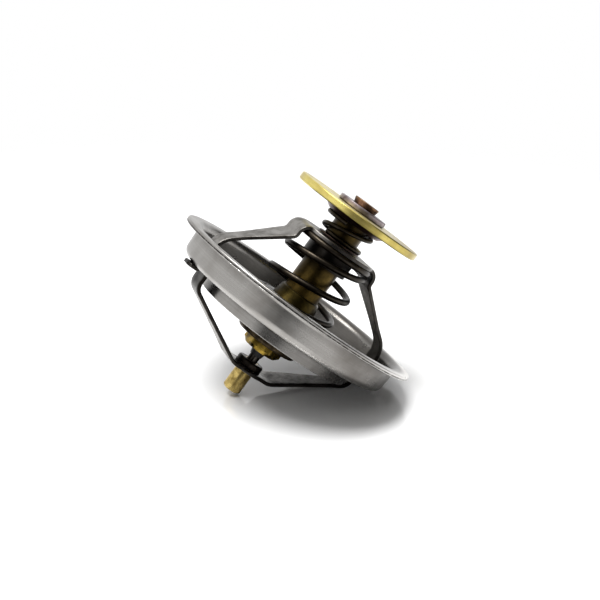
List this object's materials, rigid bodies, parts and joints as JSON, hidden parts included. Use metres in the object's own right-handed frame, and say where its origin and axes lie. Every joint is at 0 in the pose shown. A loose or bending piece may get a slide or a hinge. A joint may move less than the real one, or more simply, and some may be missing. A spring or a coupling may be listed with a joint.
{
  "type": "engine thermostat",
  "caption": "Wax element engine thermostat: flanged steel cup with a sprung poppet valve, spring cage, lower bridge and a brass bypass disc on the element's end.",
  "frame": {"origin": "centre of the flange seat, which is the underside of the lip, on the axis of the wax element", "axes": "+Z along the wax element towards the bypass disc, X along the two arms of the spring cage and of the bridge"},
  "size_m": [0.067, 0.067, 0.0571],
  "materials": {
    "flange_steel": "drawn stainless sheet, satin, spun round its axis",
    "cage_steel": "grey pressed steel with bright worn edges",
    "bridge_steel": "grey pressed steel with bright worn edges",
    "pin_brass": "turned brass, tarnished",
    "dark_steel": "blackened steel",
    "piston_steel": "ground steel, oiled",
    "spring_steel": "oil-tempered spring wire",
    "capsule_brass": "aged brass, olive brown",
    "wax": "wax with copper powder",
    "boot_rubber": "moulded rubber",
    "collar_metal": "crimped brass, dark brown",
    "guide_brass": "turned brass hexagon, tarnished",
    "seal_rubber": "moulded rubber",
    "retainer_brass": "turned brass",
    "valve_steel": "dark pressed steel",
    "valve_rubber": "bonded rubber",
    "seat_steel": "dark steel washer",
    "bypass_spring_steel": "oil-tempered spring wire",
    "washer_steel": "grey steel washer",
    "rivet_copper": "riveted copper alloy, brown",
    "disc_brass": "bright turned brass",
    "dish_bronze": "pressed bronze, dark brown"
  },
  "bodies": {
    "frame": {"flange": "flange_steel", "spring_cage": "cage_steel", "bridge": "bridge_steel", "anchor_pin": "pin_brass", "anchor_washer": "dark_steel", "piston": "piston_steel", "main_spring": "spring_steel"},
    "element": {"wax_capsule": "capsule_brass", "wax_charge": "wax", "rubber_boot": "boot_rubber", "element_collar": "collar_metal", "element_guide": "guide_brass", "piston_seal": "seal_rubber", "valve_retainer": "retainer_brass", "valve_disc": "valve_steel", "valve_seal": "valve_rubber", "bypass_spring_seat": "seat_steel", "bypass_spring": "bypass_spring_steel", "stop_washer": "washer_steel", "end_rivet": "rivet_copper"},
    "bypass": {"bypass_disc": "disc_brass", "bypass_dish": "dish_bronze"}
  },
  "joints": [
    {"name": "valve_lift", "type": "slide", "parent": "frame", "child": "element", "axis": [0, 0, 1], "range_m": [0, 0.008], "stiffness_N_per_m": 2500, "springref_m": -0.004, "deforming": ["main_spring"]},
    {"name": "bypass_slide", "type": "slide", "parent": "element", "child": "bypass", "axis": [0, 0, 1], "range_m": [-0.002, 0], "stiffness_N_per_m": 600, "springref_m": 0.003, "deforming": ["bypass_spring"]}
  ]
}
